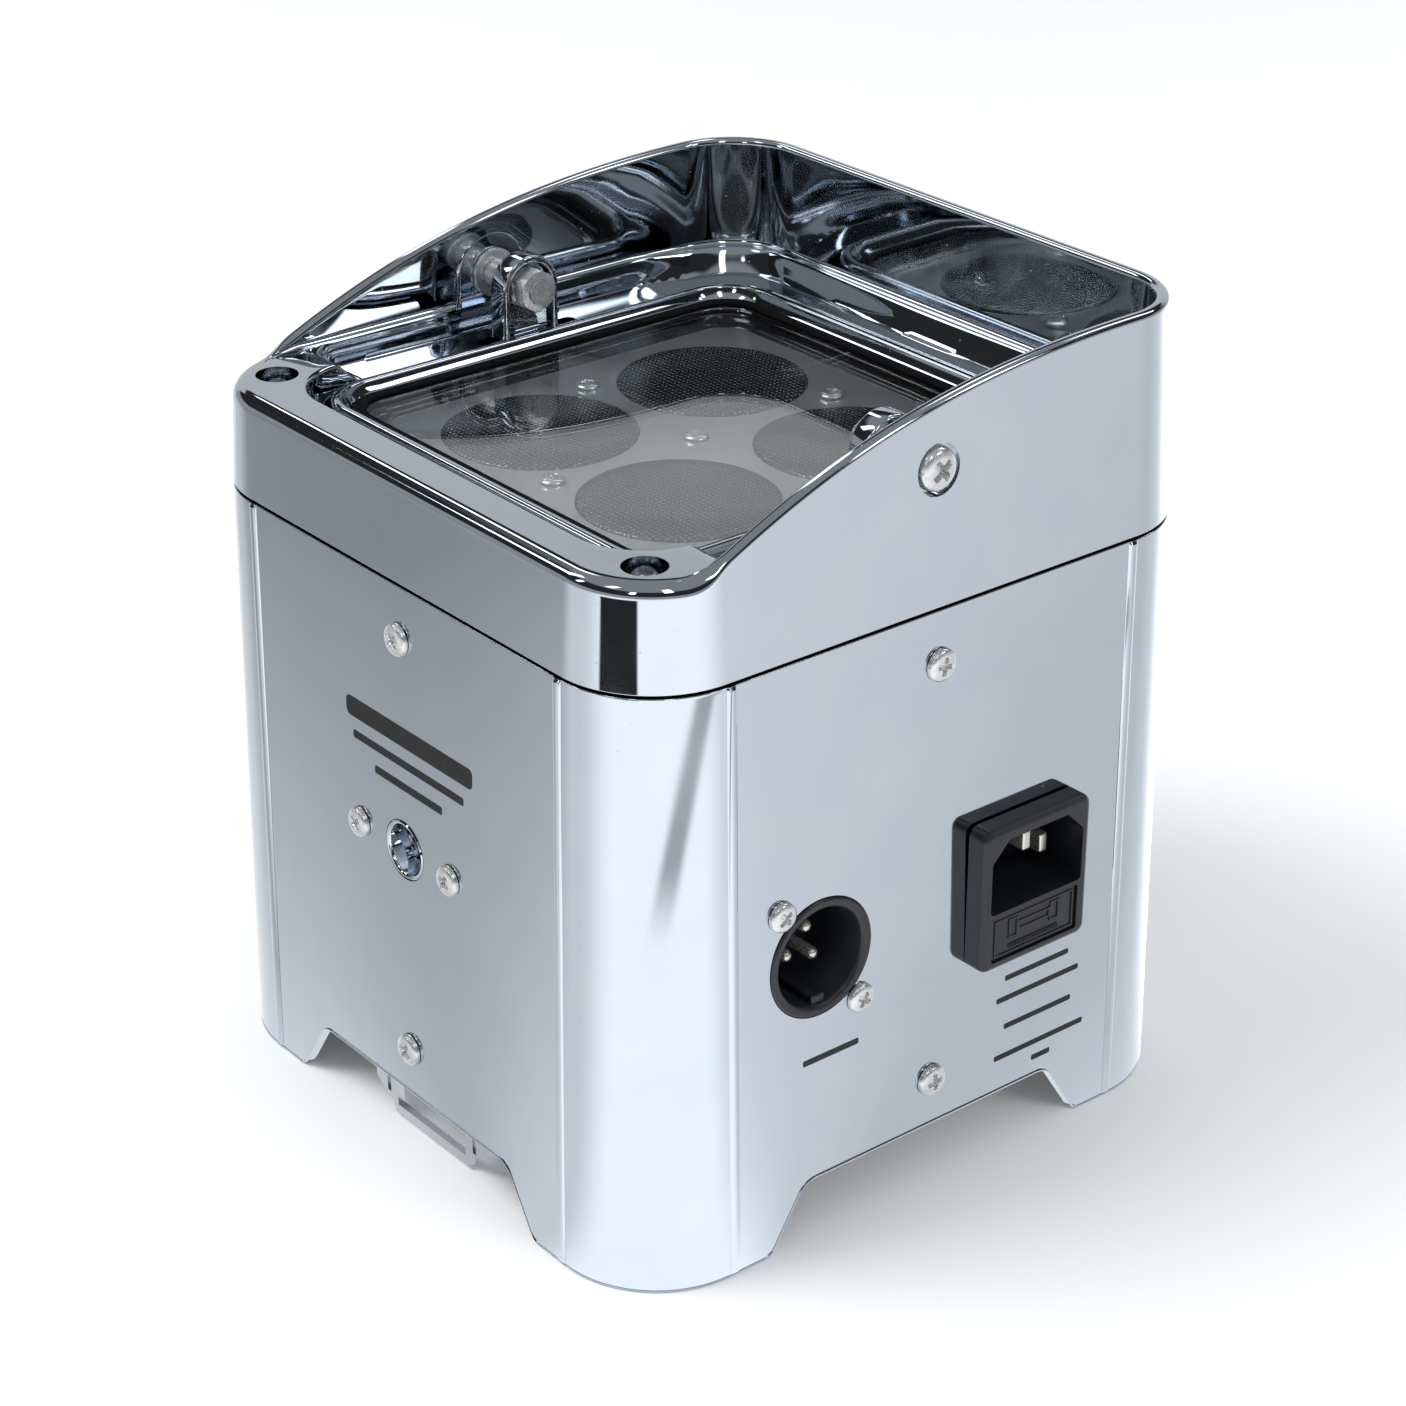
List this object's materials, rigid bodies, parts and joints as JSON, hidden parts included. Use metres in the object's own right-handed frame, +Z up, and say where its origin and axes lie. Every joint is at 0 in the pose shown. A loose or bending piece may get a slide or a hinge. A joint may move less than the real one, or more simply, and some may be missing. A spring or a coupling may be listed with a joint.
{
  "type": "par can light",
  "caption": "Square chrome-plated battery uplighter with a tilting lamp head under a raised visor, a mains inlet, round data sockets and a fold-out stand.",
  "frame": {"origin": "on the floor, at the middle of the square footprint of the four corner feet", "axes": "+Z up; -Y is the plain front with the security anchor and the low side of the visor; +X is the side with the mains inlet; X is the head's tilt axis direction"},
  "size_m": [0.1485, 0.1492, 0.1661],
  "materials": {
    "chrome_plating": "bright chrome plating on a moulded case",
    "bright_zinc": "bright zinc-plated screws and nuts",
    "plated_anchor": "chrome-plated zinc casting",
    "steel_sheet": "plated sheet steel",
    "black_sheet": "black powder coat, satin",
    "rubber_black": "matt black rubber",
    "inlet_plastic": "black moulded plastic, satin",
    "contact_metal": "nickel-plated brass contacts",
    "fuse_glass": "glass tube fuse",
    "socket_shell": "black connector shell",
    "socket_insert": "black contact carrier",
    "latch_metal": "nickel-plated latch tab",
    "panel_plastic": "black moulded plastic",
    "display_glass": "dark tinted window",
    "display_body": "display module",
    "key_plastic": "dark grey keys",
    "clear_glass": "clear toughened glass",
    "shade_plastic": "gloss black moulding",
    "plate_metal": "light grey satin paint on sheet",
    "lens_acrylic": "clear moulded acrylic lenses",
    "board_laminate": "green solder mask",
    "emitter_phosphor": "LED emitters on white bases",
    "sink_metal": "extruded aluminium, plain",
    "cell_wrap": "blue shrink sleeve"
  },
  "bodies": {
    "housing": {"body_shell": "chrome_plating", "top_hood": "chrome_plating", "case_screws": "bright_zinc", "hood_screws": "bright_zinc", "pivot_bolts": "bright_zinc", "pivot_nuts": "bright_zinc", "pivot_washers": "bright_zinc", "pivot_sleeves": "bright_zinc", "input_screws": "bright_zinc", "output_screws": "bright_zinc", "anchor_screws": "bright_zinc", "base_screws": "bright_zinc", "anchor_cup": "plated_anchor", "anchor_bar": "plated_anchor", "stand_pin": "steel_sheet", "battery_strap": "steel_sheet", "base_plate": "black_sheet", "rubber_feet": "rubber_black", "inlet_body": "inlet_plastic", "switch_frame": "inlet_plastic", "inlet_blades": "contact_metal", "input_pins": "contact_metal", "output_contacts": "contact_metal", "switch_terminals": "contact_metal", "input_shell": "socket_shell", "output_shell": "socket_shell", "input_insert": "socket_insert", "output_insert": "socket_insert", "display_panel": "panel_plastic", "battery_tray": "panel_plastic", "display_window": "display_glass", "display_module": "display_body", "control_board": "board_laminate", "driver_board": "board_laminate", "supply_board": "board_laminate", "radio_antenna": "board_laminate", "battery_cells": "cell_wrap"},
    "lamp_head": {"head_bezel": "chrome_plating", "head_glass": "clear_glass", "glass_gasket": "rubber_black", "shade_frame": "shade_plastic", "lens_plate": "plate_metal", "lenses": "lens_acrylic", "plate_screws": "bright_zinc", "led_board": "board_laminate", "led_emitters": "emitter_phosphor", "heat_sink": "sink_metal", "head_cup": "shade_plastic"},
    "fuse_carrier": {"fuse_drawer": "inlet_plastic", "fuse": "fuse_glass"},
    "menu_key": {"menu_key": "key_plastic"},
    "down_key": {"down_key": "key_plastic"},
    "up_key": {"up_key": "key_plastic"},
    "enter_key": {"enter_key": "key_plastic"},
    "power_rocker": {"power_rocker": "inlet_plastic"},
    "output_latch": {"output_latch": "latch_metal"},
    "fold_stand": {"fold_stand": "steel_sheet"}
  },
  "joints": [
    {"name": "head_tilt", "type": "hinge", "parent": "housing", "child": "lamp_head", "pos_m": [0, -0.0005, 0.1492], "axis": [1, 0, 0], "range_deg": [0, 25]},
    {"name": "fuse_slide", "type": "slide", "parent": "housing", "child": "fuse_carrier", "axis": [1, 0, 0], "range_m": [0, 0.013]},
    {"name": "rocker_tip", "type": "hinge", "parent": "housing", "child": "power_rocker", "pos_m": [0, 0.06974, 0.038], "axis": [0, 0, 1], "range_deg": [-18, 0]},
    {"name": "latch_press", "type": "slide", "parent": "housing", "child": "output_latch", "axis": [1, 0, 0], "range_m": [0, 0.0012], "stiffness_N_per_m": 300},
    {"name": "stand_fold", "type": "hinge", "parent": "housing", "child": "fold_stand", "pos_m": [0, -0.012, 0.0086], "axis": [1, 0, 0], "range_deg": [0, 100]},
    {"name": "menu_key_press", "type": "slide", "parent": "housing", "child": "menu_key", "axis": [0, -1, 0], "range_m": [0, 0.0008], "stiffness_N_per_m": 300},
    {"name": "down_key_press", "type": "slide", "parent": "housing", "child": "down_key", "axis": [0, -1, 0], "range_m": [0, 0.0008], "stiffness_N_per_m": 300},
    {"name": "up_key_press", "type": "slide", "parent": "housing", "child": "up_key", "axis": [0, -1, 0], "range_m": [0, 0.0008], "stiffness_N_per_m": 300},
    {"name": "enter_key_press", "type": "slide", "parent": "housing", "child": "enter_key", "axis": [0, -1, 0], "range_m": [0, 0.0008], "stiffness_N_per_m": 300}
  ]
}
